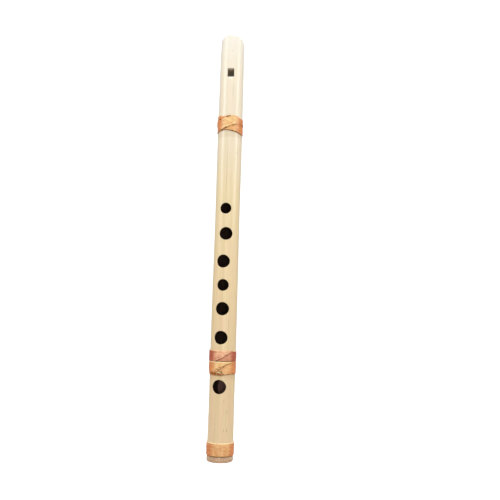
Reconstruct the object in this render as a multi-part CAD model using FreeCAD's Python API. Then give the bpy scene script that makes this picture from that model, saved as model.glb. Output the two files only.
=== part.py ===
"""Bamboo duct flute, end-blown and held upright, in millimetres.

The origin is the centre of the foot's end face. +Z runs up the tube to the mouth, -Y is the front, where the
window and the tone holes are, and +X is to the right of someone who faces the front.
Angles round the tube are measured from the front, positive towards +X.
"""
import FreeCAD, Part
import math
import os

from FreeCAD import Vector

# Culm
LENGTH = 421.4
FOOT_RADIUS = 12.6
MOUTH_RADIUS = 11.9
WAVE_HEIGHT = 0.14      # natural swelling of the culm about its even taper
WAVE_LENGTH = 170.0
WAVE_CREST_Z = 315.0
PROFILE_STATIONS = 15
FOOT_ROUNDING = 1.4
BORE_RADIUS = 9.6

# Mouth end: a slanted beak, longest at the front
BEAK_SLOPE = 20.5       # degrees from square
BEAK_TURN = -8.0        # the slant is cut a little off the front line
BEAK_ROUNDING = 1.6

# Window and lip
WINDOW_WIDTH = 6.7
WINDOW_HEIGHT = 8.4
WINDOW_BOTTOM = 377.4
WINDOW_TOP = WINDOW_BOTTOM + WINDOW_HEIGHT
WINDOW_CORNER = 0.7
LIP_RAMP_LENGTH = 2.6
LIP_EDGE_RADIUS = 10.0  # how far the lip's edge stands from the axis

# Block and windway
SEAT_RADIUS = 9.8       # the bore is opened out for the block, which stops on the step
BLOCK_CLEARANCE = 0.02
WINDWAY_EXIT_HEIGHT = 1.3
WINDWAY_ENTRY_HEIGHT = 1.9

# Tone holes from the top: height, diameter, angle from the front line
TONE_HOLES = [
    (243.0, 10.8, -3.9),
    (218.0, 12.5, 1.0),
    (190.8, 12.6, -8.0),
    (167.6, 11.3, -5.7),
    (144.7, 12.8, -5.1),
    (117.0, 12.9, -7.9),
    (70.4, 13.3, -9.2),
]

# Bindings: flat strips wound on the tube. Each edge is a smooth curve through stops of (angle, height above
# the binding's bottom), and layers says where the strip rides on another turn.
STRIP_CLEARANCE = 0.03
LAP_GAP = 0.03
STATION_STEP = 9.0      # degrees between the stations of a wound strip
BINDINGS = {
    "upper_binding": {
        "bottom": 319.2,
        "thickness": 0.5,
        "low": [(-179, 0.8), (-75, 1.9), (-36, 3.3), (0, 6.4), (36, 9.3), (60, 9.9), (240, 9.7),
                (275, 8.9), (330, 3.4), (360, 2.7), (400, 1.3), (425, 0.0), (450, 0.3), (539, 0.1)],
        "high": [(-179, 10.1), (-90, 14.0), (-34, 15.0), (-10, 16.4), (6, 17.6), (30, 17.7), (60, 15.9),
                 (110, 16.7), (285, 18.8), (307, 18.4), (326, 16.9), (350, 17.3), (360, 16.9), (385, 10.6),
                 (425, 10.3), (450, 9.7), (539, 9.6)],
        "layers": [(-179, 1), (75, 1), (120, 0), (539, 0)],
    },
    "middle_binding_red": {
        "bottom": 94.5,
        "thickness": 0.55,
        "low": [(-74, 0.0), (326, 0.0), (350, 2.3), (366, 3.9), (392, 7.8), (412, 9.4)],
        "high": [(-74, 10.4), (10, 10.0), (200, 10.0), (286, 10.9), (330, 10.7), (370, 10.0), (412, 10.0)],
        "layers": [(-74, 0), (245, 0), (275, 1), (412, 1)],
    },
    "middle_binding_orange": {
        "bottom": 81.6,
        "thickness": 0.55,
        "low": [(-112, 0.3), (-45, 0.1), (-10, 0.0), (10, 0.3), (35, 1.1), (60, 1.1), (190, 0.7),
                (255, 2.7), (330, 3.0), (360, 6.8), (372, 9.1), (392, 11.0), (447, 11.9)],
        "high": [(-112, 12.7), (447, 12.7)],
        "layers": [(-112, 0), (205, 0), (240, 1), (447, 1)],
    },
    "foot_binding": {
        "bottom": 6.2,
        "thickness": 0.75,
        "low": [(-182, 0.0), (200, 0.0)],
        "high": [(-182, 12.2), (200, 12.2)],
        "layers": [(-182, 0), (130, 0), (175, 1), (200, 1)],
    },
}


def culm_radius(z):
    """Outer radius of the culm at height z."""
    even = FOOT_RADIUS + (MOUTH_RADIUS - FOOT_RADIUS) * z / LENGTH
    return even + WAVE_HEIGHT * math.cos(2 * math.pi * (z - WAVE_CREST_Z) / WAVE_LENGTH)


def around(radius, angle, z):
    """Point at a radius and an angle from the front, in degrees, at height z."""
    a = math.radians(angle)
    return Vector(radius * math.sin(a), -radius * math.cos(a), z)


def eased(angle, stops):
    """Value at an angle on a smooth curve that passes through every stop without overshooting."""
    steps = list(zip(stops, stops[1:]))
    slopes = [(after - before) / (end - start) for (start, before), (end, after) in steps]
    bends = [0.0]
    for left, right in zip(slopes, slopes[1:]):
        bends.append(2 * left * right / (left + right) if left * right > 0 else 0.0)
    bends.append(0.0)
    for k, ((start, before), (end, after)) in enumerate(steps):
        if angle <= end:
            break
    span = end - start
    t = min(1.0, max(0.0, (angle - start) / span))
    settle = t * t * (3 - 2 * t)
    pull = t * (1 - t) * span * (bends[k] * (1 - t) - bends[k + 1] * t)
    return before + (after - before) * settle + pull


def box_between(low, high):
    size = high - low
    return Part.makeBox(size.x, size.y, size.z, low)


def beak_cutter():
    """Everything above the slanted mouth end."""
    reach = 5 * MOUTH_RADIUS
    front_lip = Vector(0, -culm_radius(LENGTH), LENGTH)
    above = box_between(Vector(-reach, -reach, 0), Vector(reach, reach, reach))
    above.rotate(Vector(0, 0, 0), Vector(1, 0, 0), -BEAK_SLOPE)
    above.translate(front_lip)
    above.rotate(Vector(0, 0, 0), Vector(0, 0, 1), BEAK_TURN)
    return above


def culm_blank():
    """The turned outside of the culm, solid, with its foot edge rounded."""
    stations = [FOOT_ROUNDING + (LENGTH - FOOT_ROUNDING) * i / (PROFILE_STATIONS - 1)
                for i in range(PROFILE_STATIONS)]
    side = Part.BSplineCurve()
    side.interpolate([Vector(culm_radius(z), 0, z) for z in stations])
    foot_edge = culm_radius(0) - FOOT_ROUNDING
    corner_centre = Vector(foot_edge, 0, FOOT_ROUNDING)
    corner_end = Vector(culm_radius(FOOT_ROUNDING), 0, FOOT_ROUNDING)
    diagonal = Vector(math.sqrt(0.5), 0, -math.sqrt(0.5)) * FOOT_ROUNDING
    corner = Part.Arc(Vector(foot_edge, 0, 0), corner_centre + diagonal, corner_end)
    edges = [
        Part.makeLine(Vector(0, 0, 0), Vector(foot_edge, 0, 0)),
        corner.toShape(),
        side.toShape(),
        Part.makeLine(Vector(culm_radius(LENGTH), 0, LENGTH), Vector(0, 0, LENGTH)),
        Part.makeLine(Vector(0, 0, LENGTH), Vector(0, 0, 0)),
    ]
    return Part.Face(Part.Wire(edges)).revolve(Vector(0, 0, 0), Vector(0, 0, 1), 360)


def window_cutter():
    """The window's opening and the ramp that leads down to the lip."""
    half = WINDOW_WIDTH / 2
    surface = -culm_radius(WINDOW_BOTTOM)
    overrun = LIP_RAMP_LENGTH
    low_corner = Vector(-half, surface - overrun, WINDOW_BOTTOM)
    opening = box_between(low_corner, Vector(half, -BORE_RADIUS / 2, WINDOW_TOP))
    top_corners = [edge for edge in opening.Edges
                   if edge.BoundBox.ZMin > WINDOW_BOTTOM and edge.BoundBox.XLength < half]
    opening = opening.makeFillet(WINDOW_CORNER, top_corners)
    slope = (surface + LIP_EDGE_RADIUS) / LIP_RAMP_LENGTH
    foot_of_ramp = Vector(-half, surface + slope * overrun, WINDOW_BOTTOM - LIP_RAMP_LENGTH - overrun)
    lip_edge = Vector(-half, -LIP_EDGE_RADIUS, WINDOW_BOTTOM)
    outline = [foot_of_ramp, lip_edge, Vector(-half, foot_of_ramp.y, WINDOW_BOTTOM), foot_of_ramp]
    ramp = Part.Face(Part.makePolygon(outline)).extrude(Vector(WINDOW_WIDTH, 0, 0))
    return opening.fuse(ramp)


def bamboo_tube():
    bore = Part.makeCylinder(BORE_RADIUS, LENGTH)
    seat = Part.makeCylinder(SEAT_RADIUS, LENGTH, Vector(0, 0, WINDOW_TOP))
    tube = culm_blank().cut(beak_cutter())
    mouth_edges = [edge for edge in tube.Edges if edge.BoundBox.ZMin > WINDOW_TOP]
    tube = tube.makeFillet(BEAK_ROUNDING, mouth_edges)
    tube = tube.cut(bore).cut(seat).cut(window_cutter())
    for height, diameter, angle in TONE_HOLES:
        start = around(BORE_RADIUS / 2, angle, height)
        drill = Part.makeCylinder(diameter / 2, LENGTH / 10, start, around(1, angle, 0))
        tube = tube.cut(drill)
    return tube


def fipple_block():
    radius = SEAT_RADIUS - BLOCK_CLEARANCE
    block = Part.makeCylinder(radius, LENGTH - WINDOW_TOP, Vector(0, 0, WINDOW_TOP))
    half = WINDOW_WIDTH / 2
    roof = -SEAT_RADIUS
    exit_floor = Vector(-half, roof + WINDWAY_EXIT_HEIGHT, WINDOW_TOP)
    entry_floor = Vector(-half, roof + WINDWAY_ENTRY_HEIGHT, LENGTH)
    entry_roof = Vector(-half, roof, LENGTH)
    exit_roof = Vector(-half, roof, WINDOW_TOP)
    outline = [exit_floor, entry_floor, entry_roof, exit_roof, exit_floor]
    windway = Part.Face(Part.makePolygon(outline)).extrude(Vector(WINDOW_WIDTH, 0, 0))
    return block.cut(windway).cut(beak_cutter())


def wound_strip(binding):
    """A flat strip wound round the tube as its entry in BINDINGS says."""
    start, end = binding["low"][0][0], binding["low"][-1][0]
    bottom, thickness = binding["bottom"], binding["thickness"]
    on_tube = culm_radius(bottom + binding["high"][0][1] / 2) + STRIP_CLEARANCE
    count = math.ceil((end - start) / STATION_STEP) + 1
    corners = [[], [], [], []]
    for i in range(count):
        angle = start + (end - start) * i / (count - 1)
        low = bottom + eased(angle, binding["low"])
        high = bottom + eased(angle, binding["high"])
        inner = on_tube + (thickness + LAP_GAP) * eased(angle, binding["layers"])
        outer = inner + thickness
        section = [around(inner, angle, low), around(outer, angle, low),
                   around(outer, angle, high), around(inner, angle, high)]
        for line, point in zip(corners, section):
            line.append(point)
    curves = []
    for line in corners:
        curve = Part.BSplineCurve()
        curve.interpolate(line)
        curves.append(curve.toShape())
    faces = [Part.makeRuledSurface(curves[i], curves[(i + 1) % 4]) for i in range(4)]
    for k in (0, -1):
        outline = [line[k] for line in corners]
        faces.append(Part.Face(Part.makePolygon(outline + outline[:1])))
    shell = Part.Shell(faces)
    shell.sewShape()
    solid = Part.Solid(shell)
    if solid.Volume < 0:
        solid.reverse()
    return solid


parts = {
    "bamboo_tube": bamboo_tube(),
    "fipple_block": fipple_block(),
}
for name, binding in BINDINGS.items():
    parts[name] = wound_strip(binding)

os.makedirs("parts", exist_ok=True)
for name, shape in parts.items():
    shape.exportStep(os.path.join("parts", name + ".step"))
    print(name, "valid", shape.isValid(), "closed", shape.isClosed(), "volume", round(shape.Volume, 1))
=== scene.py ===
"""Looks of the bamboo duct flute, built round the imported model.

Lengths are in millimetres until a mesh is made, where they turn into the frame's metres. Angles round the
tube are in degrees from the front (-Y), positive towards +X.
"""

import math

import bmesh
import bpy
import numpy as np
from mathutils import Matrix, Vector


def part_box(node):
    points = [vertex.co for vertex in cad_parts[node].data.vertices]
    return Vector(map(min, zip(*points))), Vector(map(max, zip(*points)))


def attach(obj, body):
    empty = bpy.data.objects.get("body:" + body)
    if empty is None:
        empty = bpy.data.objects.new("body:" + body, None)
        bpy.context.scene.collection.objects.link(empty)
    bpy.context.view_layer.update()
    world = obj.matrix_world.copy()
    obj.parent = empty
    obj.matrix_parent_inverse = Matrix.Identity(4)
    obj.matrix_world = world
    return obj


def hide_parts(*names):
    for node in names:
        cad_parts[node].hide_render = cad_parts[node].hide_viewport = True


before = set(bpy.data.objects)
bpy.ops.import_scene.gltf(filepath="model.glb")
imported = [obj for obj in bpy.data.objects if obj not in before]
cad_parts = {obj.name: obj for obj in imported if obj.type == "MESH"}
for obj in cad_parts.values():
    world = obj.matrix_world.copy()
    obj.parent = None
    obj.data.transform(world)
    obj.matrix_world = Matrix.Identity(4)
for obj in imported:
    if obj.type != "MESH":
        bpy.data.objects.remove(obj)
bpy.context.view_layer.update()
MM = 0.001


def node_box(node):
    """Lowest and highest corner of a CAD node, in millimetres."""
    low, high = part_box(node)
    return low / MM, high / MM


# Culm, as in the CAD part
FOOT_RADIUS = 12.6
MOUTH_RADIUS = 11.9
WAVE_HEIGHT = 0.14      # natural swelling of the culm about its even taper
WAVE_LENGTH = 170.0
WAVE_CREST_Z = 315.0
LENGTH = 421.4
BORE_RADIUS = 9.6
SEAT_RADIUS = 9.8

# Unevenness of the real tube, over the CAD part's plain surfaces. Bumps: height, how many round, length
OVALITY = 0.07
OVAL_TURN = 50.0
OVAL_TWIST = 110.0      # the oval turns by half a radian over this length
LUMPS = (0.05, 8, 38.0)
RIBS = (0.018, 64, 90.0)
BORE_BUMPS = (0.05, 32, 9.0)
SMOOTH_BORE_MARGIN = 10.0   # the bore is smooth from this far below the window's top

# Mouth end and foot
BEAK_SLOPE = 20.5
BEAK_TURN = -8.0
BEAK_ROUNDING = 2.4
LIP_SHARE = 0.62        # the mouth's rounding reaches inwards by this share of its height
LIP_FLAT = 0.15         # flat end face left between the mouth's two roundings, at the least
FOOT_ROUNDING = 1.4
FOOT_UNEVENNESS = 0.3   # the foot's rounding varies by this much either way round the tube
INNER_ROUNDING = 0.4
SHOULDER_WEAR = 0.55    # rubbed off the left side of the mouth end
SHOULDER_LOW = 400.0
SHOULDER_HIGH = 416.0

# Window, lip and windway
WINDOW_WIDTH = 6.7
WINDOW_HEIGHT = 8.4
WINDOW_TOP = node_box("fipple_block")[0].z
WINDOW_BOTTOM = WINDOW_TOP - WINDOW_HEIGHT
WINDOW_CORNER = 0.7
LIP_RAMP_LENGTH = 2.6
LIP_EDGE_RADIUS = 10.0
WINDWAY_EXIT_HEIGHT = 1.3
WINDWAY_ENTRY_HEIGHT = 1.9
SEAT_STEP = 0.05        # height over which the bore steps out to the block's seat
BLOCK_CLEARANCE = 0.02
BLOCK_ROUNDING = 0.25

# Tone holes from the top: height, diameter, angle
TONE_HOLES = [
    (243.0, 10.8, -3.9),
    (218.0, 12.5, 1.0),
    (190.8, 12.6, -8.0),
    (167.6, 11.3, -5.7),
    (144.7, 12.8, -5.1),
    (117.0, 12.9, -7.9),
    (70.4, 13.3, -9.2),
]
HOLE_RIM = 0.45
HOLE_MARGIN = 4.0       # the mesh is laid round a hole within this distance of its edge

# Bindings, as in the CAD part. Each edge is a smooth curve through stops of (angle, height above the
# binding's bottom), and layers says where the strip rides on another turn.
BINDINGS = {
    "upper_binding": {
        "thickness": 0.5,
        "low": [(-179, 0.8), (-75, 1.9), (-36, 3.3), (0, 6.4), (36, 9.3), (60, 9.9), (240, 9.7),
                (275, 8.9), (330, 3.4), (360, 2.7), (400, 1.3), (425, 0.0), (450, 0.3), (539, 0.1)],
        "high": [(-179, 10.1), (-90, 14.0), (-34, 15.0), (-10, 16.4), (6, 17.6), (30, 17.7), (60, 15.9),
                 (110, 16.7), (285, 18.8), (307, 18.4), (326, 16.9), (350, 17.3), (360, 16.9), (385, 10.6),
                 (425, 10.3), (450, 9.7), (539, 9.6)],
        "layers": [(-179, 1), (75, 1), (120, 0), (539, 0)],
    },
    "middle_binding_red": {
        "thickness": 0.55,
        "low": [(-74, 0.0), (326, 0.0), (350, 2.3), (366, 3.9), (392, 7.8), (412, 9.4)],
        "high": [(-74, 10.4), (10, 10.0), (200, 10.0), (286, 10.9), (330, 10.7), (370, 10.0), (412, 10.0)],
        "layers": [(-74, 0), (245, 0), (275, 1), (412, 1)],
    },
    "middle_binding_orange": {
        "thickness": 0.55,
        "low": [(-112, 0.3), (-45, 0.1), (-10, 0.0), (10, 0.3), (35, 1.1), (60, 1.1), (190, 0.7),
                (255, 2.7), (330, 3.0), (360, 6.8), (372, 9.1), (392, 11.0), (447, 11.9)],
        "high": [(-112, 12.7), (447, 12.7)],
        "layers": [(-112, 0), (205, 0), (240, 1), (447, 1)],
    },
    "foot_binding": {
        "thickness": 0.75,
        "low": [(-182, 0.0), (200, 0.0)],
        "high": [(-182, 12.2), (200, 12.2)],
        "layers": [(-182, 0), (130, 0), (175, 1), (200, 1)],
    },
}

STRIP_CLEARANCE = 0.04
LAP_GAP = 0.03
DRAPE = 1.3             # a strip that rides on another turn comes back down over this width
RAGGED = 0.1            # how far a strip's edges wander
CROWN_POWER = 5         # a strip is nearly flat across, and rounded at its edges
RIDGE_HEIGHT = 0.045    # fibres standing out of a strip
RIDGE_LENGTH = 22.0
FINE_RIDGE_SHARE = 0.6  # height of the fine ridges, as a share of the broad ones' height
FINE_RIDGE_COUNT = 2.3  # fine ridges to each broad one
FINE_RIDGE_LENGTH = 9.0
BUCKLE_LENGTH = 1.3
BUCKLE_WIDTH = 2.2
LOW_EDGE_WAVE = 1.7     # length over which each edge wanders, and over which the curl changes
HIGH_EDGE_WAVE = 2.9
CURL_WAVE = 3.5
NARROW = 3.0            # a strip thins out where it is narrower than this
CURL_REACH = 1.6        # how far in from its lower edge a strip curls up
CREVICE_REACH = 3.0     # painted shade and grime darken corners within this distance
RUBBED_AND_LIT_TURN = 6.0       # the strips are palest at this angle: rubbed, and painted with a highlight

# How each strip looks: where its noise starts, fibres across it, how far its lower edge curls up, how
# deeply it is crinkled, and whether its upper edge carries a pale painted highlight
STRIP_LOOKS = {
    "upper_binding": {"seed": 1.0, "fibres": 9.0, "curl": 0.35, "crinkle": 0.05, "pale_highlit_edge": False},
    "middle_binding_red": {"seed": 3.0, "fibres": 9.0, "curl": 0.1, "crinkle": 0.05, "pale_highlit_edge": True},
    "middle_binding_orange": {"seed": 5.0, "fibres": 9.0, "curl": 0.3, "crinkle": 0.05, "pale_highlit_edge": True},
    "foot_binding": {"seed": 7.0, "fibres": 14.0, "curl": 0.4, "crinkle": 0.2, "pale_highlit_edge": True},
}

# Torn fibres over the orange binding: angle, height, length, width, rise from one end to the other
FRAYED_ENDS = [
    (-13, 2.5, 4.6, 0.5, 0.7),
    (-8, 1.9, 3.8, 0.4, -0.3),
    (-4, 2.9, 3.2, 0.4, 1.2),
    (-1, 2.2, 2.4, 0.35, -0.9),
    (4, 0.2, 1.2, 0.5, -0.9),
]
SLIVER_THICKNESS = 0.3
SLIVER_LIFT = 1.25      # their starts lie this many strip thicknesses off the tube
SLIVER_RISE = 0.5       # and their ends this many further
SLIVER_SHARE = 0.96     # they take the pale painted-highlight colour a strip has at this share of its width

# Tongue-shaped patch of painted light on the far wall of the bore, behind the lowest tone hole
TONGUE_HEIGHT = 68.0
TONGUE_TIP = -5.0       # x of its tip
TONGUE_BEND = 0.035     # how fast its edges draw back from the tip
TONGUE_BLUR = 0.6

# Heights between which one look of the wood gives way to the next, painted light and shade among them
BARE_FOOT_EDGE = (5.0, 7.0)
TONGUE_EDGE = (80.0, 100.0)
BORE_SHADE_EDGE = (335.0, 365.0)
PALE_CUT_EDGE = (WINDOW_BOTTOM - 20, WINDOW_BOTTOM)

# Scars on the culm's skin: angle, height, half width, half length, strength
SCARS = [
    (-4, 282, 0.45, 36, 0.22),
    (-4, 155, 0.4, 80, 0.12),
    (14, 362, 0.5, 14, 0.25),
    (6, 404, 1.3, 1.8, 0.12),
    (44, 299, 0.6, 1.6, 0.5),
    (16, 57.5, 0.4, 2.6, 0.5),
    (31, 47, 0.5, 3.0, 0.45),
    (32, 30, 0.5, 2.4, 0.6),
    (18, 30, 0.4, 1.8, 0.5),
    (-24, 212, 0.4, 6, 0.25),
    (25, 130, 0.4, 9, 0.25),
]

# Painted shadows along the laps of the orange strips, given like the scars
LAP_SHADOW_MARKS = [
    (-46, 333.2, 2.2, 1.2, 0.8),
    (-30, 334.4, 1.8, 0.7, 0.5),
    (-8, 335.3, 2.2, 1.0, 0.85),
    (1, 335.9, 2.0, 0.9, 0.85),
    (-13, 324.3, 1.9, 1.0, 0.6),
    (17, 326.9, 2.4, 0.8, 0.45),
    (-46, 82.9, 3.6, 1.7, 0.6),
    (-29, 82.8, 3.6, 1.8, 0.62),
    (-12, 82.7, 3.6, 1.9, 0.58),
    (5, 82.5, 3.2, 1.6, 0.45),
    (-28, 85.6, 2.4, 1.0, 0.3),
    (-17, 87.2, 2.4, 1.3, 0.45),
    (-6, 88.8, 2.4, 1.2, 0.4),
    (6, 90.0, 2.0, 1.0, 0.3),
]

# Mesh fineness
COLUMNS = 128
ROW_STEP = 1.5
LEVEL_TOP = WINDOW_TOP + 8.0    # above here the rows of mesh slant over to the mouth
SLANTED_ROWS = 14
HOLE_COLUMNS = 36       # columns and rows taken up by the patch of mesh round a hole
HOLE_ROWS = 14
RING_SHARES = (0.78, 0.58, 0.41, 0.28, 0.18, 0.1, 0.04, 0.0)    # rings in a patch, as shares of the way out
RIM_TURNS = (22, 45, 67, 90)    # rings on a hole's rounded rim, by how many degrees it has turned inwards
END_STEPS = 7
INNER_STEPS = 3
BLOCK_ROWS = 13
BLOCK_ARC = 96
CHANNEL_COLUMNS = 9
STRIP_STEP = 1.5        # degrees
STRIP_COLUMNS = 37
SLIVER_ROWS = 9
SLIVER_SIDES = 8
COVE_SIDES = 96
COVE_STEPS = 12
SAME_PLACE = 0.01       # points closer than this share a place
TUBE_SHARPNESS = 40.0   # degrees between faces from which an edge of the tube is sharp
BLOCK_SHARPNESS = 30.0
STRIP_SHARPNESS = 60.0
COVE_SHARPNESS = 80.0

# Camera, placed from the foot's centre
CAMERA_DISTANCE = 610.8
CAMERA_AZIMUTH = 5.68
CAMERA_HEIGHT = 139.0
CAMERA_PITCH = 6.04
CAMERA_ROLL = 1.59
CAMERA_PAN = 2.2        # turned this far to the right of the tube
CAMERA_LENS = 44.5

# White studio cove round the flute
COVE_FLOOR = 1400.0
COVE_CURVE = 700.0
COVE_TOP = 3200.0
COVE_DROP = 0.02        # the floor lies this far below the foot
COVE_GLOW = 0.12        # light that the white cove gives off
COVE_WHITE = 0.9        # how bright the camera sees it, before the lamps' share
SKY_STRENGTH = 0.6

# Soft lights: azimuth from the camera, elevation, distance, size, watts, height on the flute aimed at
LIGHTS = {
    "left_panel": (-66, 19, 900, (240, 520), 2.7, 310),
    "right_panel": (66, 19, 900, (220, 520), 2.85, 310),
    "top_panel": (-8, 60, 1100, (320, 260), 3.8, 250),
    "front_panel": (8, -18, 900, (300, 300), 1.35, 370),
    "back_panel": (172, 45, 1000, (400, 400), 3.2, 250),
}

# Material slots of the tube and of the block
SKIN, BORE, BURNT, CUT = range(4)
SIDE, END = range(2)

NOISE_CELLS = 64
NOISE_TABLE = np.random.default_rng(11).uniform(-1, 1, (NOISE_CELLS, NOISE_CELLS))


def smoothstep(t):
    t = np.clip(t, 0.0, 1.0)
    return t * t * (3 - 2 * t)


def soft_noise(x, y):
    """Smooth noise between -1 and 1 that repeats every NOISE_CELLS units."""
    x, y = np.broadcast_arrays(np.asarray(x, float), np.asarray(y, float))
    column, row = np.floor(x).astype(int), np.floor(y).astype(int)
    right, up = smoothstep(x - column), smoothstep(y - row)

    def corner(i, j):
        return NOISE_TABLE[(column + i) % NOISE_CELLS, (row + j) % NOISE_CELLS]

    lower = corner(0, 0) * (1 - right) + corner(1, 0) * right
    upper = corner(0, 1) * (1 - right) + corner(1, 1) * right
    return lower * (1 - up) + upper * up


def eased(angle, stops):
    """Value at an angle on a smooth curve that passes through every stop without overshooting."""
    steps = list(zip(stops, stops[1:]))
    slopes = [(after - before) / (end - start) for (start, before), (end, after) in steps]
    bends = [0.0]
    for left, right in zip(slopes, slopes[1:]):
        bends.append(2 * left * right / (left + right) if left * right > 0 else 0.0)
    bends.append(0.0)
    for k, ((start, before), (end, after)) in enumerate(steps):
        if angle <= end:
            break
    span = end - start
    t = min(1.0, max(0.0, (angle - start) / span))
    settle = t * t * (3 - 2 * t)
    pull = t * (1 - t) * span * (bends[k] * (1 - t) - bends[k + 1] * t)
    return before + (after - before) * settle + pull


def around(radius, angle, z):
    """Points at a radius, an angle from the front and a height, as an array of x, y, z."""
    a = np.radians(angle)
    return np.stack(np.broadcast_arrays(radius * np.sin(a), -radius * np.cos(a), z), axis=-1)


# ---------------------------------------------------------------- meshes

class Shape:
    """Points and quads gathered for one mesh."""

    def __init__(self):
        self.points = []
        self.faces = []
        self.slots = []
        self.count = 0

    def add(self, points):
        """Keeps the points and returns their numbers, in the same arrangement."""
        flat = np.reshape(points, (-1, 3))
        numbers = np.arange(self.count, self.count + len(flat)).reshape(np.shape(points)[:-1])
        self.points.append(flat)
        self.count += len(flat)
        return numbers

    def skin(self, numbers, slot=0, skip=None):
        """Quads over a grid of point numbers, with its last column joined to its first."""
        grid = np.concatenate([numbers, numbers[:, :1]], axis=1)
        quads = np.stack([grid[:-1, :-1], grid[:-1, 1:], grid[1:, 1:], grid[1:, :-1]], axis=-1)
        keep = np.ones(quads.shape[:2], bool) if skip is None else ~skip
        quads = quads[keep]
        self.faces.extend(quads.tolist())
        self.slots.extend([slot] * len(quads))

    def cap(self, loop, slot=0):
        self.faces.append([int(i) for i in loop])
        self.slots.append(slot)

    def bar(self, sections):
        """A solid bar through a row of sections."""
        numbers = self.add(np.stack(sections))
        self.skin(numbers)
        self.cap(numbers[0])
        self.cap(numbers[-1][::-1])

    def build(self, name, materials):
        """Turns the gathered faces into an object."""
        mesh = bpy.data.meshes.new(name)
        points = np.concatenate(self.points) * MM
        mesh.from_pydata(points.tolist(), [], self.faces)
        mesh.polygons.foreach_set("material_index", self.slots)
        for material in materials:
            mesh.materials.append(material)
        made = bpy.data.objects.new(name, mesh)
        bpy.context.scene.collection.objects.link(made)
        return made


def shade(mesh, sharp_angle):
    """Shades the mesh smooth, apart from edges sharper than the angle."""
    mesh.shade_smooth()
    mesh.set_sharp_from_angle(angle=math.radians(sharp_angle))


def clean(made, sharp_angle):
    """Drops loose points, turns all faces outwards and shades the mesh smooth between sharp edges."""
    mesh = made.data
    work = bmesh.new()
    work.from_mesh(mesh)
    loose = [v for v in work.verts if not v.link_faces]
    bmesh.ops.delete(work, geom=loose, context="VERTS")
    bmesh.ops.recalc_face_normals(work, faces=work.faces)
    work.to_mesh(mesh)
    work.free()
    shade(mesh, sharp_angle)


def column_angles():
    return np.arange(COLUMNS) * 360 / COLUMNS - 180


def culm_radius(z):
    """Outer radius of the culm as in the CAD part."""
    even = FOOT_RADIUS + (MOUTH_RADIUS - FOOT_RADIUS) * z / LENGTH
    return even + WAVE_HEIGHT * np.cos(2 * math.pi * (z - WAVE_CREST_Z) / WAVE_LENGTH)


def bumps(angle, z, height, count, length, start=0):
    """Height of smooth bumps on a wall of the tube, so many round it and that long."""
    return height * soft_noise(angle / 360 * count, z / length + start)


def tube_radius(angle, z):
    """Outer radius with the culm's slight ovality, lumps and lengthwise ribs."""
    oval = OVALITY * np.cos(2 * np.radians(angle - OVAL_TURN) + z / OVAL_TWIST)
    uneven = oval + bumps(angle, z, *LUMPS) + bumps(angle, z, *RIBS, start=5)
    leftward = np.maximum(0.0, -np.sin(np.radians(angle)))
    worn = SHOULDER_WEAR * leftward ** 2 * smoothstep((z - SHOULDER_LOW) / (SHOULDER_HIGH - SHOULDER_LOW))
    return culm_radius(z) + uneven - worn


def bore_wall_radius(angle, z):
    """Radius of the bore, rough up to near the window, and of the block's seat above the window."""
    rough = BORE_RADIUS + bumps(angle, z, *BORE_BUMPS)
    smooth = np.where(z > WINDOW_TOP, SEAT_RADIUS, BORE_RADIUS)
    return np.where(z > WINDOW_TOP - SMOOTH_BORE_MARGIN, smooth, rough)


def beak_height(radius, angle):
    """Height of the slanted mouth plane above a point of the tube."""
    front = culm_radius(LENGTH)
    back_from_lip = front - radius * np.cos(np.radians(angle - BEAK_TURN))
    return LENGTH - math.tan(math.radians(BEAK_SLOPE)) * back_from_lip


def rounded_corner(start, corner, end, steps):
    """Points of a rounded corner, one row per step, from start to end."""
    rows = []
    for t in np.linspace(0, 1, steps + 1):
        rows.append((1 - t) ** 2 * start + 2 * t * (1 - t) * corner + t ** 2 * end)
    return np.stack(rows)


def level_rows(low, high):
    """Heights of the level rows of the walls' mesh, and for each hole the first row of its patch."""
    rows = [low]
    first_rows = []

    def fill_to(height):
        steps = max(1, round((height - rows[-1]) / ROW_STEP))
        rows.extend(np.linspace(rows[-1], height, steps + 1)[1:])

    for height, diameter, _ in reversed(TONE_HOLES):
        reach = diameter / 2 + HOLE_MARGIN
        fill_to(height - reach)
        first_rows.insert(0, len(rows) - 1)
        rows.extend(np.linspace(height - reach, height + reach, HOLE_ROWS + 1)[1:])
    fill_to(high)
    return np.array(rows), first_rows


def wall_heights(bottom, rows, top):
    """Height of every point of a wall's mesh: bottom edge, level rows, and rows that slant to its top."""
    level = np.repeat(rows[:, None], COLUMNS, axis=1)
    share = np.linspace(0, 1, SLANTED_ROWS + 1)[1:, None]
    slanted = LEVEL_TOP + (top - LEVEL_TOP) * share
    return np.concatenate([np.broadcast_to(bottom, (1, COLUMNS)), level, slanted])


def patch_loop(first_row, first_column):
    """Row and column numbers round the edge of a hole's patch, anticlockwise from its low left corner."""
    rows = np.arange(HOLE_ROWS + 1) + first_row
    columns = np.arange(HOLE_COLUMNS + 1) + first_column
    loop = [(rows[0], c) for c in columns[:-1]]
    loop += [(r, columns[-1]) for r in rows[:-1]]
    loop += [(rows[-1], c) for c in columns[:0:-1]]
    loop += [(r, columns[0]) for r in rows[:0:-1]]
    r, c = zip(*loop)
    return np.array(r), np.array(c) % COLUMNS


def turn_aside(x, radius):
    """Angle round the tube that takes a point at a radius x to the side."""
    return np.degrees(np.arcsin(np.clip(x / radius, -1, 1)))


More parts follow.
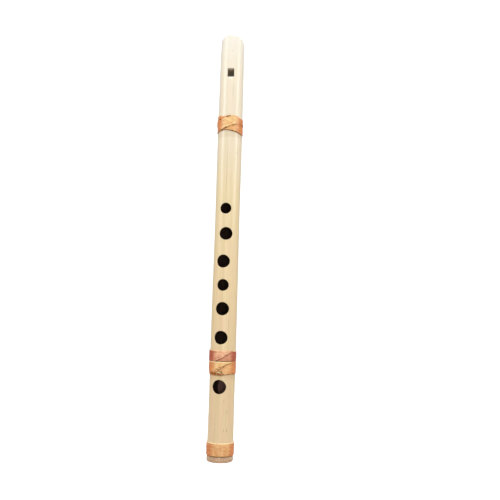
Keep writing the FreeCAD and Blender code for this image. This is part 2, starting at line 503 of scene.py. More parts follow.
def hole_rings(hole, edge, radius_at, growths, depths):
    """Rings of points round a hole on a wall, from the edge of its patch of mesh in to the hole.

    A growth is 1 at the patch's edge, 0 at the outside of the hole's rim and -1 at the inside of the rim.
    """
    height, diameter, angle = hole
    edge_x, edge_z, edge_radius = edge
    direction = np.arctan2(edge_z / np.abs(edge_z).max(), edge_x / np.abs(edge_x).max())
    rings = []
    for growth, depth in zip(growths, depths):
        share = max(growth, 0.0)
        circle = diameter / 2 + HOLE_RIM * (1 + min(growth, 0.0))
        x = circle * np.cos(direction) * (1 - share) + edge_x * share
        z = circle * np.sin(direction) * (1 - share) + edge_z * share
        radius = radius_at(angle + turn_aside(x, edge_radius), height + z) - depth
        rings.append(around(radius, angle + turn_aside(x, radius), height + z))
    return rings


def patch_edge(grid_angles, z, hole, radius_at, rows, columns):
    """Edge of a hole's patch: how far it lies beside and above the hole's axis, and the wall's radius."""
    height, _, angle = hole
    edge_angle = grid_angles[columns]
    edge_height = z[rows, columns]
    edge_radius = radius_at(edge_angle, edge_height)
    edge_x = edge_radius * np.sin(np.radians(edge_angle - angle))
    return edge_x, edge_height - height, edge_radius.mean()


def wall(shape, radius_at, z, first_rows, slot, with_rim):
    """One wall of the tube, with rings of mesh round its holes.

    Returns the grid of point numbers and each hole's innermost ring.
    """
    angles = column_angles()
    grid = shape.add(around(radius_at(angles[None, :], z), angles[None, :], z))
    skip = np.zeros((len(z) - 1, COLUMNS), bool)
    last_rings = []
    for hole, level_row in zip(TONE_HOLES, first_rows):
        _, _, angle = hole
        first_row = level_row + 1   # a wall has its bottom edge under the level rows
        first_column = round((angle + 180) / 360 * COLUMNS) - HOLE_COLUMNS // 2
        skip[first_row:first_row + HOLE_ROWS, first_column:first_column + HOLE_COLUMNS] = True
        rows, columns = patch_loop(first_row, first_column)
        edge = patch_edge(angles, z, hole, radius_at, rows, columns)
        rings = hole_rings(hole, edge, radius_at, RING_SHARES, np.zeros(len(RING_SHARES)))
        numbers = [grid[rows, columns]] + [shape.add(ring) for ring in rings]
        shape.skin(np.stack(numbers), slot)
        if with_rim:
            turns = np.radians(RIM_TURNS)
            rings = hole_rings(hole, edge, radius_at, -np.sin(turns), HOLE_RIM * (1 - np.cos(turns)))
            numbers = [numbers[-1]] + [shape.add(ring) for ring in rings]
            shape.skin(np.stack(numbers), slot)
        last_rings.append(numbers[-1])
    shape.skin(grid, slot, skip)
    return grid, last_rings


def hole_walls(shape, outer_rings, inner_rings):
    """Scorched walls of the tone holes, from their rims in to the bore."""
    points = np.concatenate(shape.points)
    for start, end in zip(outer_rings, inner_rings):
        steps = [start]
        for t in (0.2, 0.4, 0.6, 0.8):
            steps.append(shape.add(points[start] * (1 - t) + points[end] * t))
        steps.append(end)
        shape.skin(np.stack(steps), BURNT)


def join_end(shape, outer_row, edges, inner_row):
    """Rounds an end of the tube over from its outer wall, across its end face and into the bore.

    The edges are four rings of points: the outer corner, the end face's two edges, and the bore's corner.
    """
    outer_corner, face_start, face_end, inner_corner = edges
    points = np.concatenate(shape.points)
    over = rounded_corner(points[outer_row], outer_corner, face_start, END_STEPS)
    numbers = [outer_row] + [shape.add(row) for row in over[1:]]
    shape.skin(np.stack(numbers), SKIN)
    into = rounded_corner(face_end, inner_corner, points[inner_row], INNER_STEPS)
    middle = (face_start + face_end) / 2
    numbers = [numbers[-1], shape.add(middle)] + [shape.add(row) for row in into[:-1]] + [inner_row]
    shape.skin(np.stack(numbers), CUT)


def bamboo_tube(materials):
    """The culm: outer wall, bore, hole walls and both ends."""
    shape = Shape()
    angles = column_angles()
    heights, first_rows = level_rows(2 * FOOT_ROUNDING, LEVEL_TOP)
    foot_rounding = FOOT_ROUNDING + FOOT_UNEVENNESS * np.sin(np.radians(angles - 30)) ** 3
    rim_radius = tube_radius(angles, LENGTH)
    outer_z = wall_heights(foot_rounding, heights, beak_height(rim_radius, angles) - BEAK_ROUNDING)
    outer, outer_rings = wall(shape, tube_radius, outer_z, first_rows, SKIN, with_rim=True)

    step_row = int(np.argmin(np.abs(heights - WINDOW_TOP)))     # here the bore steps out to the seat
    heights[step_row:step_row + 2] = WINDOW_TOP, WINDOW_TOP + SEAT_STEP
    inner_z = wall_heights(INNER_ROUNDING, heights, beak_height(SEAT_RADIUS, angles) - INNER_ROUNDING)
    inner, inner_rings = wall(shape, bore_wall_radius, inner_z, first_rows, BORE, with_rim=False)
    hole_walls(shape, outer_rings, inner_rings)

    foot_radius = tube_radius(angles, foot_rounding)
    bore_radius = bore_wall_radius(angles, np.full(COLUMNS, INNER_ROUNDING))
    radii = (foot_radius, foot_radius - foot_rounding, bore_radius + INNER_ROUNDING, bore_radius)
    join_end(shape, outer[0], [around(radius, angles, 0.0) for radius in radii], inner[0])
    seat_edge = SEAT_RADIUS + INNER_ROUNDING / 2
    lip_radius = np.maximum(rim_radius - BEAK_ROUNDING * LIP_SHARE, seat_edge + LIP_FLAT)
    radii = (rim_radius, lip_radius, seat_edge, SEAT_RADIUS)
    edges = [around(radius, angles, beak_height(radius, angles)) for radius in radii]
    join_end(shape, outer[-1], edges, inner[-1])

    made = shape.build("bamboo_tube_body", materials)
    clean(made, TUBE_SHARPNESS)
    cut_window(made, materials)
    return made


def window_cutter(materials):
    """What the window takes out of the wall: a block with round upper corners, and a ramp below it."""
    half = WINDOW_WIDTH / 2
    outside = LIP_EDGE_RADIUS - 2 * culm_radius(WINDOW_BOTTOM)     # the ramp's middle is on the surface
    inside = -BORE_RADIUS / 2
    side = [(outside, WINDOW_BOTTOM - 2 * LIP_RAMP_LENGTH), (-LIP_EDGE_RADIUS, WINDOW_BOTTOM),
            (inside, WINDOW_BOTTOM), (inside, WINDOW_TOP), (outside, WINDOW_TOP)]
    work = bmesh.new()
    corners = [[work.verts.new(Vector((x, y, z)) * MM) for y, z in side] for x in (-half, half)]
    work.faces.new(corners[0])
    work.faces.new(corners[1][::-1])
    for i in range(len(side)):
        j = (i + 1) % len(side)
        work.faces.new([corners[0][j], corners[0][i], corners[1][i], corners[1][j]])

    def is_upper_corner(edge):
        a, b = [vertex.co / MM for vertex in edge.verts]
        return min(a.z, b.z) > WINDOW_TOP - SAME_PLACE and abs(a.x - b.x) < SAME_PLACE

    upper_corners = [edge for edge in work.edges if is_upper_corner(edge)]
    bmesh.ops.bevel(work, geom=upper_corners, offset=WINDOW_CORNER * MM, segments=5,
                    affect="EDGES", profile=0.5)
    bmesh.ops.recalc_face_normals(work, faces=work.faces)
    mesh = bpy.data.meshes.new("window_cutter")
    work.to_mesh(mesh)
    work.free()
    for material in materials:
        mesh.materials.append(material)
    mesh.polygons.foreach_set("material_index", [CUT] * len(mesh.polygons))
    cutter = bpy.data.objects.new("window_cutter", mesh)
    bpy.context.scene.collection.objects.link(cutter)
    return cutter


def cut_window(tube, materials):
    """Cuts the window and the ramp down to its lip out of the tube."""
    cutter = window_cutter(materials)
    tool = tube.modifiers.new("window", "BOOLEAN")
    tool.operation = "DIFFERENCE"
    tool.solver = "EXACT"
    tool.object = cutter
    ready = tube.evaluated_get(bpy.context.evaluated_depsgraph_get())
    tube.data = bpy.data.meshes.new_from_object(ready)
    tube.modifiers.clear()
    bpy.data.objects.remove(cutter)
    shade(tube.data, TUBE_SHARPNESS)


def block_section(radius, floor):
    """Outline of the block at one height: a circle with the windway's channel cut flat into its front."""
    half = WINDOW_WIDTH / 2
    edge = math.degrees(math.asin(half / radius))
    arc = around(radius, np.linspace(edge, 360 - edge, BLOCK_ARC), 0.0)
    floor_x = np.linspace(-half, half, CHANNEL_COLUMNS)
    channel = np.stack(np.broadcast_arrays(floor_x, -floor, 0.0), axis=-1)
    return np.concatenate([arc, channel])


def fipple_block(materials):
    """The plug in the mouth end, with the windway's floor rising towards the window."""
    shape = Shape()
    sections = []
    for t in np.linspace(0, 1, BLOCK_ROWS):
        floor = SEAT_RADIUS - (WINDWAY_EXIT_HEIGHT * (1 - t) + WINDWAY_ENTRY_HEIGHT * t)
        outline = block_section(SEAT_RADIUS - BLOCK_CLEARANCE, floor)
        x, y = outline[:, 0], outline[:, 1]
        top = beak_height(np.hypot(x, y), np.degrees(np.arctan2(x, -y)))
        outline[:, 2] = WINDOW_TOP + (top - WINDOW_TOP) * t
        sections.append(outline)
    numbers = shape.add(np.stack(sections))
    shape.skin(numbers, SIDE)
    shape.cap(numbers[0][::-1], SIDE)
    shape.cap(numbers[-1], END)
    made = shape.build("fipple_block_body", materials)
    clean(made, BLOCK_SHARPNESS)
    rounding = made.modifiers.new("edge_rounding", "BEVEL")
    rounding.width = BLOCK_ROUNDING * MM
    rounding.segments = 2
    rounding.limit_method = "ANGLE"
    rounding.angle_limit = math.radians(50)
    return made


# ---------------------------------------------------------------- bindings

def lap_lift(binding, angle, heights):
    """How far a strip stands off the tube where it rides on its own other turn."""
    start, end = binding["low"][0][0], binding["low"][-1][0]
    other = angle - 360 if angle > (start + end) / 2 else angle + 360
    low, high = eased(other, binding["low"]), eased(other, binding["high"])
    over = smoothstep((heights - low + DRAPE) / DRAPE) * smoothstep((high + DRAPE - heights) / DRAPE)
    return (binding["thickness"] + LAP_GAP) * eased(angle, binding["layers"]) * over


def strip_thickness(thickness, looks, length, width, across):
    """Thickness of a strip at shares of its width: rounded off at the edges, ridged and buckled."""
    seed, fibres = looks["seed"], looks["fibres"]
    crown = (1 - np.abs(2 * across - 1) ** CROWN_POWER) ** (1 / CROWN_POWER)
    broad_ridges = soft_noise(across * fibres + seed, length / RIDGE_LENGTH)
    fine_ridges = soft_noise(across * fibres * FINE_RIDGE_COUNT, length / FINE_RIDGE_LENGTH)
    ridges = RIDGE_HEIGHT * (broad_ridges + FINE_RIDGE_SHARE * fine_ridges)
    buckles = looks["crinkle"] * soft_noise(length / BUCKLE_LENGTH, across * width / BUCKLE_WIDTH + seed)
    return crown * min(1.0, width / NARROW) * (thickness + ridges + buckles)


def strip_section(node, bottom, angle):
    """Outline of a strip at an angle, and each point's place on it for the material.

    A place is how far the point lies along and across the strip, and its share of the width where the upper
    edge takes a pale painted highlight, else 0.
    """
    binding, looks = BINDINGS[node], STRIP_LOOKS[node]
    seed = looks["seed"]
    length = math.radians(angle) * FOOT_RADIUS
    low = eased(angle, binding["low"]) + RAGGED * soft_noise(length / LOW_EDGE_WAVE + seed, 3.1)
    high = eased(angle, binding["high"]) + RAGGED * soft_noise(length / HIGH_EDGE_WAVE + seed, 9.7)
    width = high - low
    edge_lift = looks["curl"] * (0.65 + 0.35 * soft_noise(length / CURL_WAVE, seed + 40))
    reach = min(CURL_REACH, width / 2)

    def laid(share, raised):
        height = low + width * share
        curled = edge_lift * smoothstep(1 - share * width / reach)
        under_side = tube_radius(angle, bottom + height) + lap_lift(binding, angle, height)
        return around(under_side + STRIP_CLEARANCE + curled + raised, angle, bottom + height)

    across = (1 - np.cos(np.linspace(0, math.pi, STRIP_COLUMNS))) / 2
    under = across[::-2][1:-1]
    top = strip_thickness(binding["thickness"], looks, length, width, across)
    outline = np.concatenate([laid(across, top), laid(under, 0.0)])
    share = np.concatenate([across, under])
    # the pale upper edge is a painted highlight
    pale = share if looks["pale_highlit_edge"] else 0.0
    return outline, np.stack(np.broadcast_arrays(length, share * width, pale), axis=-1)


def wound_strip(node, material, slivers):
    """A flat, fibrous strip wound round the tube, with torn slivers lying over it."""
    binding = BINDINGS[node]
    bottom = node_box(node)[0].z
    start, end = binding["low"][0][0], binding["low"][-1][0]
    stations = np.linspace(start, end, math.ceil((end - start) / STRIP_STEP) + 1)
    sections = [strip_section(node, bottom, angle) for angle in stations]
    outlines, places = map(list, zip(*sections))
    # how strongly each station takes the painted highlight and wear, by whether the strip rides on top
    rubbed_and_lit = [np.full(len(outlines[0]), eased(angle, binding["layers"])) for angle in stations]
    shape = Shape()
    shape.bar(outlines)
    for sliver in slivers:
        places.append(torn_sliver(shape, bottom, binding["thickness"], *sliver))
        rubbed_and_lit.append(np.ones(len(places[-1])))
    made = shape.build(node + "_strip", [material])
    store = made.data.attributes.new("strip", "FLOAT_VECTOR", "POINT")
    store.data.foreach_set("vector", np.concatenate(places).astype(np.float32).ravel())
    store = made.data.attributes.new("rubbed_and_lit", "FLOAT", "POINT")
    store.data.foreach_set("value", np.concatenate(rubbed_and_lit).astype(np.float32))
    clean(made, STRIP_SHARPNESS)
    return made


def torn_sliver(shape, bottom, thickness, angle, height, length, width, rise):
    """A torn fibre over a strip, narrowed towards both ends. Returns its points' places on the strip."""
    ring = np.radians(np.arange(SLIVER_SIDES) * 360 / SLIVER_SIDES)
    sections = []
    for t in np.linspace(0, 1, SLIVER_ROWS):
        narrowing = math.sqrt(max(0.02, math.sin(math.pi * min(1.0, 0.08 + 0.92 * t))))
        turn = angle + math.degrees(length * (t - 0.5) / FOOT_RADIUS)
        z = bottom + height + rise * (t - 0.5)
        off = thickness * (SLIVER_LIFT + SLIVER_RISE * t) + SLIVER_THICKNESS / 2 * np.sin(ring)
        sections.append(around(tube_radius(turn, z) + off, turn, z + width / 2 * narrowing * np.cos(ring)))
    shape.bar(sections)
    along = np.repeat(length * np.linspace(0, 1, SLIVER_ROWS), SLIVER_SIDES)
    return np.stack(np.broadcast_arrays(along, 0.0, SLIVER_SHARE), axis=-1)


# ---------------------------------------------------------------- materials

def srgb(red, green, blue):
    """A colour given as it looks on screen, 0 to 255, as the linear value that a shader takes."""
    def linear(c):
        c /= 255
        return c / 12.92 if c <= 0.04045 else ((c + 0.055) / 1.055) ** 2.4
    return (linear(red), linear(green), linear(blue), 1.0)


# Colours of the culm's skin, by share of its length: partly its own tan to ivory, partly painted light that
# brightens towards the mouth
SKIN_AND_TOP_LIGHT_COLOURS = [
    (0.0, srgb(226, 196, 156)),
    (0.035, srgb(241, 210, 167)),
    (0.15, srgb(239, 209, 162)),
    (0.40, srgb(246, 218, 170)),
    (0.60, srgb(246, 225, 179)),
    (0.76, srgb(246, 233, 207)),
    (0.90, srgb(249, 239, 218)),
    (1.0, srgb(254, 251, 241)),
]

# Colours of the strips: deep, body, light, worn (rubbed, and a painted highlight), and pale edge (a painted
# highlight)
ORANGE_COLOURS = (srgb(188, 98, 48), srgb(230, 144, 82), srgb(248, 178, 108),
                  srgb(255, 218, 152), srgb(255, 232, 180))
RED_COLOURS = (srgb(150, 60, 38), srgb(190, 90, 58), srgb(210, 116, 78),
               srgb(255, 198, 154), srgb(255, 214, 166))


class Shader:
    """A node material under construction."""

    def __init__(self, name):
        self.material = bpy.data.materials.new(name)
        self.material.use_nodes = True
        self.tree = self.material.node_tree
        self.surface = self.tree.nodes["Principled BSDF"]
        self.place = self.node("ShaderNodeTexCoord").outputs["Object"]

    def node(self, kind, **settings):
        made = self.tree.nodes.new(kind)
        for key, value in settings.items():
            setattr(made, key, value)
        return made

    def feed(self, socket, value):
        if isinstance(value, bpy.types.NodeSocket):
            self.tree.links.new(value, socket)
        else:
            socket.default_value = value

    def math(self, operation, a, b):
        made = self.node("ShaderNodeMath", operation=operation)
        self.feed(made.inputs[0], a)
        self.feed(made.inputs[1], b)
        return made.outputs[0]

    def times(self, a, b):
        return self.math("MULTIPLY", a, b)

    def stretch(self, vector, scale):
        made = self.node("ShaderNodeVectorMath", operation="MULTIPLY")
        self.feed(made.inputs[0], vector)
        made.inputs[1].default_value = scale
        return made.outputs[0]

    def attribute(self, name, output):
        return self.node("ShaderNodeAttribute", attribute_name=name).outputs[output]

    def join(self, x, y, z=0.0):
        made = self.node("ShaderNodeCombineXYZ")
        for socket, given in zip(made.inputs, (x, y, z)):
            self.feed(socket, given)
        return made.outputs[0]

    def crevice_shade(self, strength):
        """Painted shade and grime: the given strength in a tight corner, falling to 0 where nothing stands
        close by.
        """
        made = self.node("ShaderNodeAmbientOcclusion", samples=8)
        made.inputs["Distance"].default_value = CREVICE_REACH * MM
        return self.span(made.outputs["AO"], 0.78, 0.965, strength, 0.0)

    def grimed_and_shaded(self, colour, grime_and_shade, thin_grime_shade, thick_grime_shade):
        """The colour under grime and painted shade: a thin tint that turns to a dark crust of grime and
        shade where both are thick.
        """
        thin_shaded = self.mix(self.span(grime_and_shade, 0.0, 0.5, 0.0, 0.7), colour, thin_grime_shade)
        return self.mix(self.span(grime_and_shade, 0.35, 0.9), thin_shaded, thick_grime_shade)

    def mark(self, chart, centre, half_size):
        """A soft oval mark on an unrolled surface: 1 at its centre, 0 at its edge."""
        shift = self.node("ShaderNodeVectorMath", operation="SUBTRACT")
        self.feed(shift.inputs[0], chart)
        shift.inputs[1].default_value = (*centre, 0)
        reach = self.node("ShaderNodeVectorMath", operation="LENGTH")
        shares = self.stretch(shift.outputs[0], (1 / half_size[0], 1 / half_size[1], 0))
        self.feed(reach.inputs[0], shares)
        return self.span(reach.outputs["Value"], 0.2, 1.0, 1.0, 0.0)

    def unrolled(self):
        """The tube's surface laid flat: millimetres round from the front, and millimetres up."""
        x, y, z = self.axes(self.place)
        turn = self.math("ARCTAN2", x, self.times(y, -1.0))
        return self.join(self.times(turn, FOOT_RADIUS), self.math("DIVIDE", z, MM))

    def facing(self, angle):
        """1 where the tube faces that angle, falling to 0 a quarter of the way round."""
        x, y, _ = self.axes(self.place)
        turn = math.radians(angle)
        sideways = self.times(x, math.sin(turn) / (FOOT_RADIUS * MM))
        forward = self.times(y, -math.cos(turn) / (FOOT_RADIUS * MM))
        return self.math("ADD", sideways, forward)

    def spots(self, given):
        """Soft oval spots on the tube, given as angle, height, half width, half length and strength."""
        chart = self.unrolled()
        strongest = 0.0
        for angle, middle, half_width, half_length, strength in given:
            centre = (math.radians(angle) * FOOT_RADIUS, middle)
            spot = self.times(self.mark(chart, centre, (half_width, half_length)), strength)
            strongest = self.math("MAXIMUM", spot, strongest)
        return strongest

    def noise(self, vector, detail):
        made = self.node("ShaderNodeTexNoise")
        self.feed(made.inputs["Vector"], vector)
        made.inputs["Scale"].default_value = 1.0
        made.inputs["Detail"].default_value = detail
        made.inputs["Roughness"].default_value = 0.55
        return made.outputs[0]

    def grain(self, per_metre, detail):
        """Noise throughout the piece, with so many features to the metre along x, y and z."""
        return self.noise(self.stretch(self.place, per_metre), detail)

    def span(self, value, low, high, to_low=0.0, to_high=1.0):
        """Rescales low..high to to_low..to_high, with both ends held."""
        made = self.node("ShaderNodeMapRange", interpolation_type="SMOOTHSTEP")
        for socket, given in zip(made.inputs, (value, low, high, to_low, to_high)):
            self.feed(socket, given)
        return made.outputs[0]

    def ramp(self, value, stops):
        made = self.node("ShaderNodeValToRGB")
        self.feed(made.inputs[0], value)
        points = made.color_ramp.elements
        while len(points) < len(stops):
            points.new(0.5)
        for point, (position, colour) in zip(points, stops):
            point.position = position
            point.color = colour
        return made.outputs[0]

    def mix(self, factor, a, b):
        """Colour between a and b. The node's colour sockets are inputs 6 and 7 and output 2."""
        made = self.node("ShaderNodeMix", data_type="RGBA")
        self.feed(made.inputs[0], factor)
        self.feed(made.inputs[6], a)
        self.feed(made.inputs[7], b)
        return made.outputs[2]

    def axes(self, vector):
        made = self.node("ShaderNodeSeparateXYZ")
        self.feed(made.inputs[0], vector)
        return made.outputs

    def finish(self, colour, roughness, specular, bump=None, bump_height=0.0):
        """The finished material. bump raises the surface by up to bump_height millimetres."""
        self.feed(self.surface.inputs["Base Color"], colour)
        self.feed(self.surface.inputs["Roughness"], roughness)
        self.feed(self.surface.inputs["Specular IOR Level"], specular)
        if bump is not None:
            made = self.node("ShaderNodeBump")
            made.inputs["Strength"].default_value = 1.0
            made.inputs["Distance"].default_value = bump_height * MM
            self.feed(made.inputs["Height"], bump)
            self.feed(self.surface.inputs["Normal"], made.outputs[0])
        return self.material


def binding_shadow(s, z):
    """1 on the tube under the bindings and just below them, falling to 0 on either side."""
    shadow = 0.0
    for node in BINDINGS:
        low, high = node_box(node)
        below = s.span(z, (low.z - 6) * MM, (low.z - 3) * MM)
        not_above = s.span(z, (low.z + high.z) / 2 * MM, (high.z - 1) * MM, 1.0, 0.0)
        shadow = s.math("ADD", s.times(below, not_above), shadow)
    return shadow


def bamboo_skin():
    """Pale culm skin: tan at the foot, ivory at the mouth, partly its own colour and partly painted light
    that brightens towards the mouth, with lengthwise grain, blotches, scars, painted shade below the
    bindings and painted shade with grime in their corners.
    """
    s = Shader("bamboo_skin")
    z = s.axes(s.place)[2]
    height = s.math("DIVIDE", z, LENGTH * MM)
    grain = s.grain((700, 700, 14), 4)
    fibre = s.grain((3200, 3200, 70), 2)
    blotch = s.grain((190, 190, 32), 2)
    tint = s.ramp(blotch, [
        (0.3, srgb(226, 218, 160)),
        (0.5, srgb(238, 220, 182)),
        (0.7, srgb(250, 210, 188)),
    ])
    # the length ramp is partly painted light, brighter towards the mouth
    body = s.mix(0.2, s.ramp(height, SKIN_AND_TOP_LIGHT_COLOURS), tint)
    grain_strength = s.span(height, 0.5, 0.85, 0.2, 0.07)
    body = s.mix(s.times(s.span(grain, 0.35, 0.7), grain_strength), body, srgb(205, 172, 120))
    body = s.mix(s.span(fibre, 0.45, 0.75, 0.0, 0.1), body, srgb(190, 158, 112))
    body = s.mix(s.spots(SCARS), body, srgb(132, 98, 66))
    bare_foot = s.ramp(s.grain((900, 900, 800), 3), [
        (0.32, srgb(164, 124, 98)),
        (0.5, srgb(222, 186, 154)),
        (0.7, srgb(242, 216, 188)),
    ])
    body = s.mix(s.span(s.math("DIVIDE", z, MM), *BARE_FOOT_EDGE, 0.85, 0.0), body, bare_foot)
    shadow = binding_shadow(s, z)
    body = s.mix(s.times(shadow, 0.16), body, srgb(176, 132, 84))
    # painted shade and grime in the corners under the bindings
    grime_and_shade = s.times(s.crevice_shade(0.95), shadow)
    body = s.grimed_and_shaded(body, grime_and_shade, srgb(184, 128, 78), srgb(66, 26, 6))
    roughness = s.span(grain, 0.3, 0.7, 0.27, 0.4)
    gloss = s.math("SUBTRACT", 0.5, s.times(grime_and_shade, 0.5))
    bump = s.math("ADD", grain, s.times(fibre, 0.5))
    return s.finish(body, roughness, gloss, bump, 0.05)


def bamboo_cut():
    """Bare wood of the culm where it has been cut, palest round the window and at the mouth."""
    s = Shader("bamboo_cut")
    fibre = s.grain((1500, 1500, 900), 3)
    colour = s.ramp(fibre, [
        (0.3, srgb(196, 162, 118)),
        (0.5, srgb(226, 200, 156)),
        (0.7, srgb(240, 220, 184)),
    ])
    pale = s.span(s.axes(s.place)[2], *[height * MM for height in PALE_CUT_EDGE], 0.0, 0.75)
    return s.finish(s.mix(pale, colour, srgb(255, 250, 238)), 0.7, 0.3, fibre, 0.08)


def lit_tongue_patch(s, x, height):
    """1 on the tongue of painted light on the bore's far wall, 0 elsewhere. x and height are in
    millimetres.
    """
    aside = s.math("SUBTRACT", height, TONGUE_HEIGHT)
    edge = s.times(s.times(aside, aside), TONGUE_BEND)
    right_of_edge = s.span(s.math("SUBTRACT", x, edge), TONGUE_TIP - TONGUE_BLUR, TONGUE_TIP + TONGUE_BLUR)
    return s.times(right_of_edge, s.span(height, *TONGUE_EDGE, 1.0, 0.0))


def bore_wall():
    """Inside of the culm: painted dark as shade down the bore, painted pale as light under the window, with
    a patch of painted light behind the lowest tone hole.
    """
    s = Shader("bore_wall")
    height = s.math("DIVIDE", s.axes(s.place)[2], MM)
    x = s.math("DIVIDE", s.axes(s.place)[0], MM)
    streak = s.grain((700, 700, 60), 3)
    # painted shade: dark down the bore
    dark = s.ramp(streak, [(0.3, srgb(36, 24, 18)), (0.7, srgb(66, 46, 34))])
    pale = s.ramp(streak, [(0.3, srgb(240, 241, 238)), (0.7, srgb(250, 251, 248))])
    # painted light: pale under the window
    colour = s.mix(s.span(height, *BORE_SHADE_EDGE), dark, pale)
    # painted light falling through the lowest tone hole
    colour = s.mix(lit_tongue_patch(s, x, height), colour, srgb(150, 112, 102))
    return s.finish(colour, 0.75, 0.2, streak, 0.1)


def burnt_edge():
    """Walls of the tone holes, scorched by the rod that opened them."""
    s = Shader("burnt_edge")
    char = s.grain((900, 900, 900), 3)
    colour = s.ramp(char, [(0.3, srgb(34, 22, 16)), (0.7, srgb(84, 56, 36))])
    return s.finish(colour, 0.8, 0.2, char, 0.08)


def block_wood(name, light, dark):
    """Plain wood of the block, with broad streaks along its grain."""
    s = Shader(name)
    ring = s.grain((900, 260, 40), 3)
    colour = s.ramp(ring, [(0.3, dark), (0.7, light)])
    return s.finish(colour, 0.6, 0.3, ring, 0.05)


def strip_skin(name, colours, cracks=0.0):
    """A split strip: long fibres, paler at the front where it is rubbed and painted with a highlight,
    palest along its upper edge with a painted highlight, and darkened in its corners by painted shade and
    grime.
    """
    deep, body, light, worn, edge = colours
    s = Shader(name)
    along, across, share = s.axes(s.attribute("strip", "Vector"))
    fibre = s.noise(s.join(s.times(along, 0.07), s.times(across, 2.2)), 3)
    fine = s.noise(s.join(s.times(along, 0.2), s.times(across, 7.0), 5.0), 2)
    patch = s.grain((230, 230, 300), 2)
    facing = s.facing(RUBBED_AND_LIT_TURN)
    on_top = s.span(s.attribute("rubbed_and_lit", "Fac"), 0, 1, 0.6, 0.98)
    # painted highlight and wear: paler at the front, where the strip faces the camera and lights
    rubbed_and_lit = s.times(s.span(facing, 0.66, 1.0), on_top)
    rubbed_and_lit = s.times(rubbed_and_lit, s.span(patch, 0.32, 0.62, 0.45, 1.0))
    colour = s.mix(rubbed_and_lit, s.ramp(fibre, [(0.34, deep), (0.5, body), (0.66, light)]), worn)
    colour = s.mix(s.span(fine, 0.5, 0.72, 0.0, 0.4), colour, deep)
    speckle = s.span(s.grain((620, 620, 560), 2), 0.52, 0.66, 0.0, cracks)
    colour = s.mix(s.times(speckle, s.span(share, 0.4, 0.75, 1.0, 0.3)), colour, deep)
    # painted shade and grime in the strips' corners
    grime_and_shade = s.times(s.crevice_shade(0.9), s.span(patch, 0.4, 0.56, 0.25, 1.0))
    grime_and_shade = s.times(grime_and_shade, s.span(facing, 0.75, 0.95, 0.4, 1.0))
    # painted shadows along the laps
    grime_and_shade = s.math("MAXIMUM", grime_and_shade, s.spots(LAP_SHADOW_MARKS))
    colour = s.grimed_and_shaded(colour, grime_and_shade, srgb(160, 84, 32), srgb(74, 26, 4))
    # painted highlight along the upper edge
    colour = s.mix(s.span(share, 0.9, 0.95, 0.0, 0.9), colour, edge)
    roughness = s.span(fibre, 0.3, 0.7, 0.5, 0.36)
    gloss = s.span(grime_and_shade, 0.0, 0.6, 0.5, 0.0)
    return s.finish(colour, roughness, gloss, fibre, 0.12)


# ---------------------------------------------------------------- stage

def studio_white():
    """White that shines evenly for the camera, and gives off much less light of its own."""
    s = Shader("studio_white")
    seen = s.node("ShaderNodeLightPath").outputs["Is Camera Ray"]
    s.surface.inputs["Emission Color"].default_value = (1, 1, 1, 1)
    s.feed(s.surface.inputs["Emission Strength"], s.span(seen, 0, 1, COVE_GLOW, COVE_WHITE))
    return s.finish((0.5, 0.5, 0.5, 1), 0.9, 0.1)


def backdrop():
    """A round white studio cove: floor, curve and wall in one sheet."""
    profile = [(1.0, 0.0), (200.0, 0.0), (COVE_FLOOR, 0.0)]
    for t in np.radians(np.linspace(0, 90, COVE_STEPS + 1)[1:]):
        profile.append((COVE_FLOOR + COVE_CURVE * math.sin(t), COVE_CURVE * (1 - math.cos(t))))
    profile.append((COVE_FLOOR + COVE_CURVE, COVE_TOP))
    angles = np.arange(COVE_SIDES) * 360 / COVE_SIDES
    shape = Shape()
    numbers = shape.add(np.stack([around(radius, angles, z - COVE_DROP) for radius, z in profile]))
    shape.skin(numbers)
    shape.cap(numbers[0])
    sheet = shape.build("studio_cove", [studio_white()])
    clean(sheet, COVE_SHARPNESS)


def light_panel(name, azimuth, elevation, distance, size, power, target):
    """A soft rectangular light aimed at a height on the flute."""
    data = bpy.data.lights.new(name, "AREA")
    data.shape = "RECTANGLE"
    data.size, data.size_y = size[0] * MM, size[1] * MM
    data.energy = power
    made = bpy.data.objects.new(name, data)
    bpy.context.scene.collection.objects.link(made)
    rise = math.radians(elevation)
    aim = Vector((0, 0, target))
    offset = Vector(around(distance * math.cos(rise), azimuth, distance * math.sin(rise)))
    made.location = (aim + offset) * MM
    made.rotation_euler = (-offset).to_track_quat("-Z", "Y").to_euler()


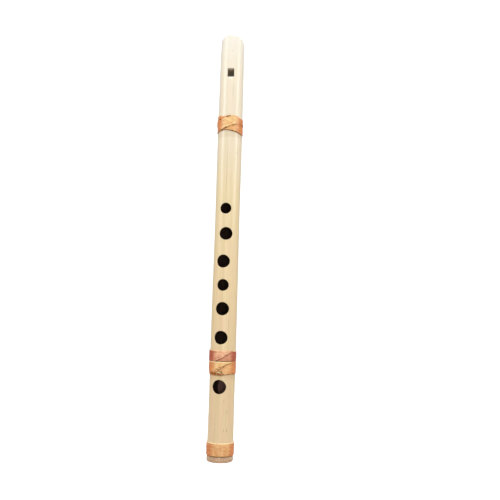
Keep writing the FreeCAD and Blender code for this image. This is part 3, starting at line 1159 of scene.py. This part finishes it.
def camera():
    """The camera, to the right of the flute's front and turned to keep it left of the picture's centre."""
    position = Vector(around(CAMERA_DISTANCE, CAMERA_AZIMUTH, CAMERA_HEIGHT))
    heading = math.radians(CAMERA_AZIMUTH - CAMERA_PAN)
    pitch = math.radians(CAMERA_PITCH)
    roll = math.radians(CAMERA_ROLL)
    level_reach = math.cos(pitch)
    ahead = Vector((-math.sin(heading) * level_reach, math.cos(heading) * level_reach, math.sin(pitch)))
    level = ahead.cross(Vector((0, 0, 1))).normalized()
    upright = level.cross(ahead)
    right = level * math.cos(roll) + upright * math.sin(roll)
    up = upright * math.cos(roll) - level * math.sin(roll)
    data = bpy.data.cameras.new("camera")
    data.lens = CAMERA_LENS
    made = bpy.data.objects.new("camera", data)
    bpy.context.scene.collection.objects.link(made)
    turned = Matrix((right, up, -ahead)).transposed().to_4x4()
    turned.translation = position * MM
    made.matrix_world = turned
    bpy.context.scene.camera = made


def studio():
    """Everything round the flute: cove, light, camera and how the picture is shown."""
    backdrop()
    world = bpy.data.worlds.new("studio")
    world.use_nodes = True
    sky = world.node_tree.nodes["Background"].inputs
    sky["Color"].default_value = (1, 1, 1, 1)
    sky["Strength"].default_value = SKY_STRENGTH
    bpy.context.scene.world = world
    for name, (azimuth, *rest) in LIGHTS.items():
        light_panel(name, CAMERA_AZIMUTH + azimuth, *rest)
    bpy.context.scene.view_settings.view_transform = "Standard"
    camera()


# ---------------------------------------------------------------- assembly

def stand_in(made, node):
    """Rides a finished piece on the flute in place of its CAD node."""
    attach(made, "root")
    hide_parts(node)


def build():
    """Every piece of the flute. The foot's binding is the one that has cracked."""
    tube = bamboo_tube([bamboo_skin(), bore_wall(), burnt_edge(), bamboo_cut()])
    stand_in(tube, "bamboo_tube")
    block_side = block_wood("block_side", srgb(232, 216, 186), srgb(204, 182, 146))
    block_end = block_wood("block_end", srgb(226, 196, 150), srgb(196, 158, 110))
    stand_in(fipple_block([block_side, block_end]), "fipple_block")
    orange = strip_skin("orange_strip", ORANGE_COLOURS)
    cracked = strip_skin("cracked_orange_strip", ORANGE_COLOURS, cracks=0.45)
    red = strip_skin("red_strip", RED_COLOURS)
    strips = {
        "upper_binding": (orange, "orange_strip", ()),
        "middle_binding_red": (red, "red_strip", ()),
        "middle_binding_orange": (orange, "orange_strip", FRAYED_ENDS),
        "foot_binding": (cracked, "orange_strip", ()),
    }
    for node, (material, slot, slivers) in strips.items():
        stand_in(wound_strip(node, material, slivers), node)


build()
studio()
